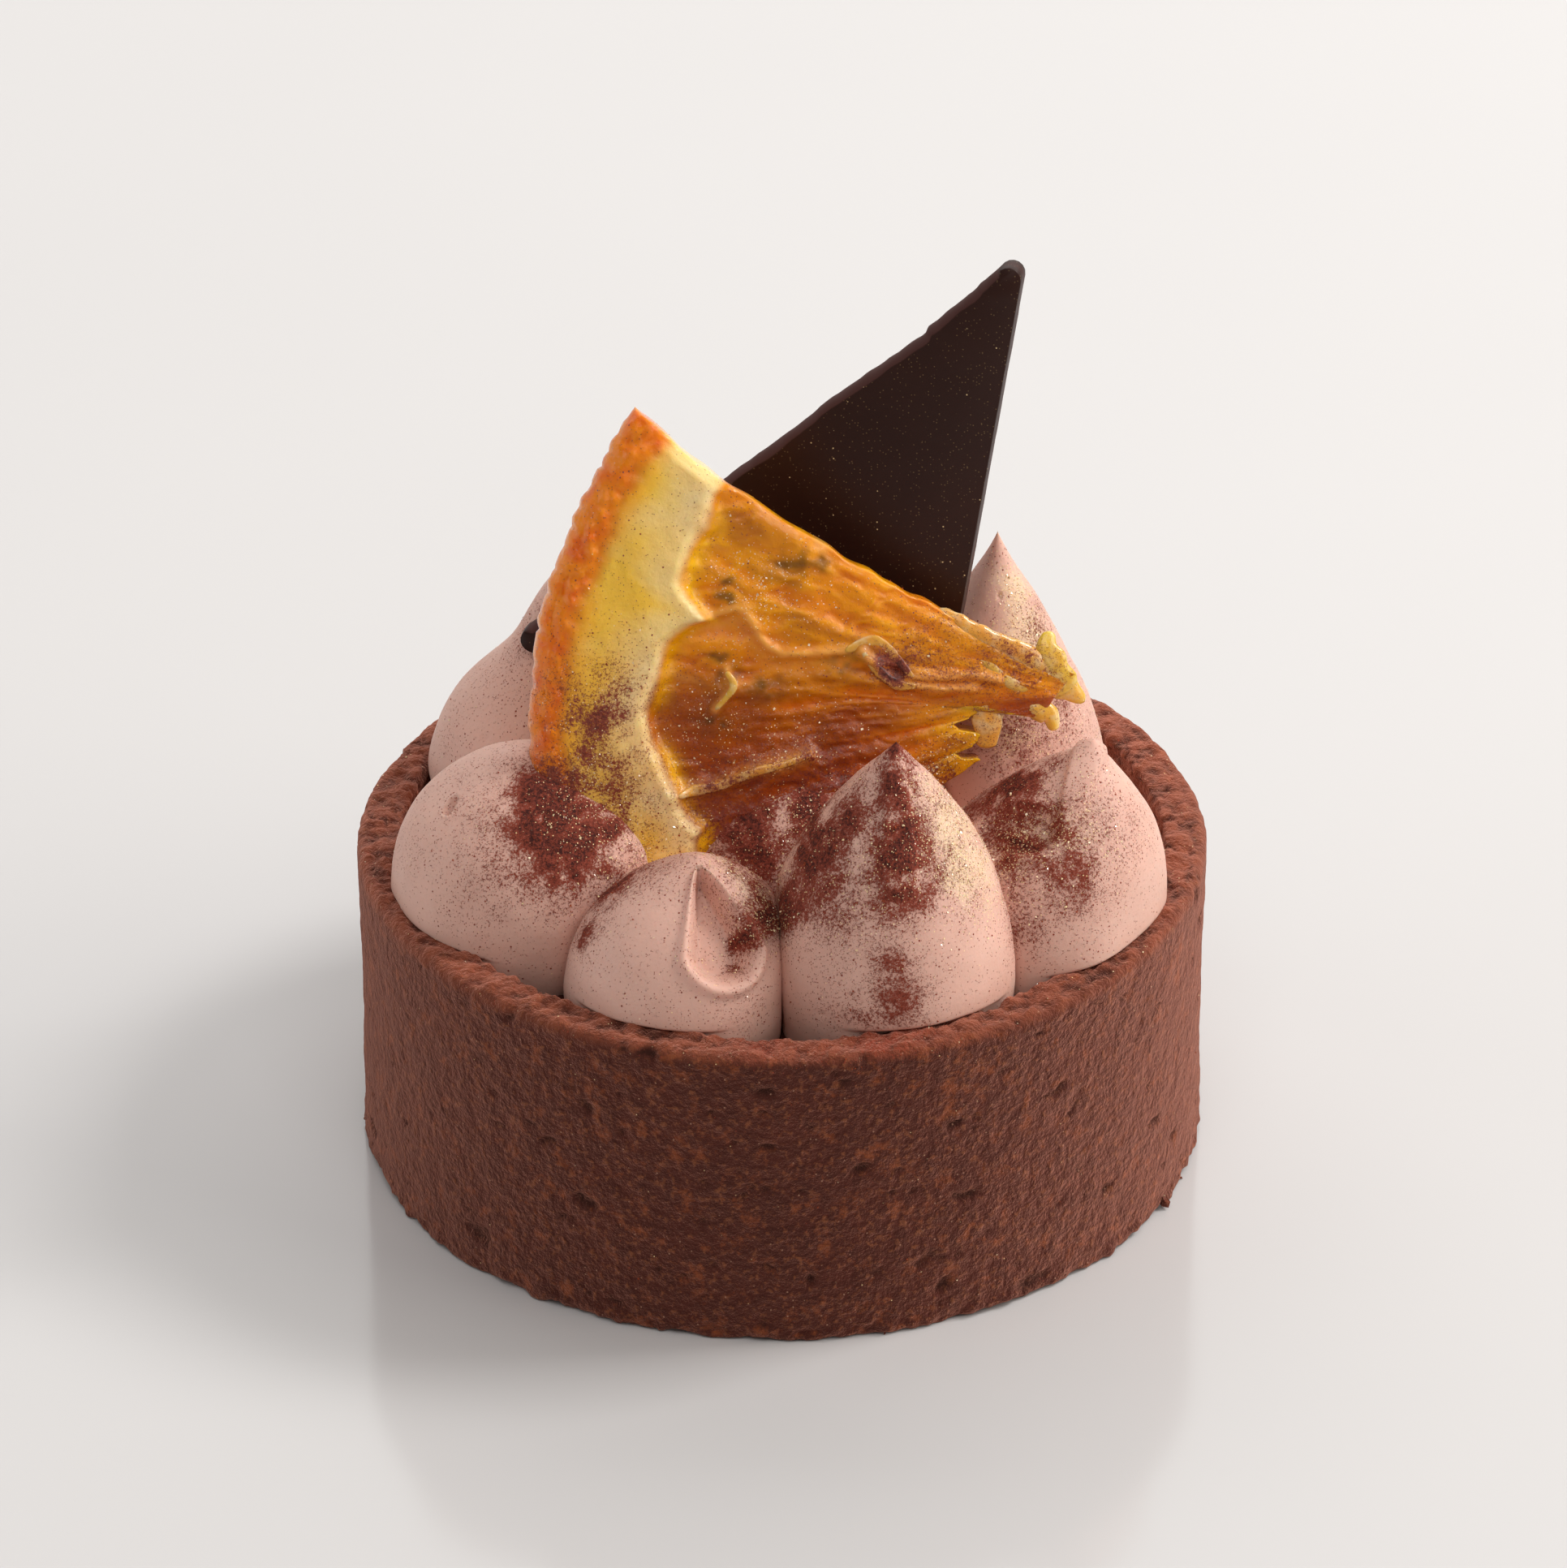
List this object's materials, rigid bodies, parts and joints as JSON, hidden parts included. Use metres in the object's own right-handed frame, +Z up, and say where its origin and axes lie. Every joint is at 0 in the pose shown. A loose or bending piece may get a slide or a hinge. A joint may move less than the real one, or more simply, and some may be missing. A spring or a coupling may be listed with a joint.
{
  "type": "chocolate tart",
  "caption": "Small round straight-sided chocolate tart with piped cream kisses, a candied orange wedge and a chocolate shard on top.",
  "frame": {"origin": "centre of the flat underside of the pastry case", "axes": "+Z up; -Y is the front, which the faces of the orange wedge and the shard look to; +X is to the right from the front"},
  "size_m": [0.065, 0.065, 0.0712],
  "materials": {
    "pastry": "matt, granular baked chocolate pastry",
    "filling": "set dark chocolate filling",
    "cream": "satin whipped chocolate cream",
    "orange": "glossy candied orange",
    "chocolate": "satin set dark chocolate"
  },
  "bodies": {
    "root": {"tart_case": "pastry", "chocolate_filling": "filling", "cream_left": "cream", "cream_front_left": "cream", "cream_front_right": "cream", "cream_right": "cream", "cream_back_right": "cream", "cream_back": "cream", "cream_back_left": "cream", "cream_far_left": "cream", "cream_middle": "cream", "orange_wedge": "orange", "chocolate_shard": "chocolate"}
  },
  "joints": []
}
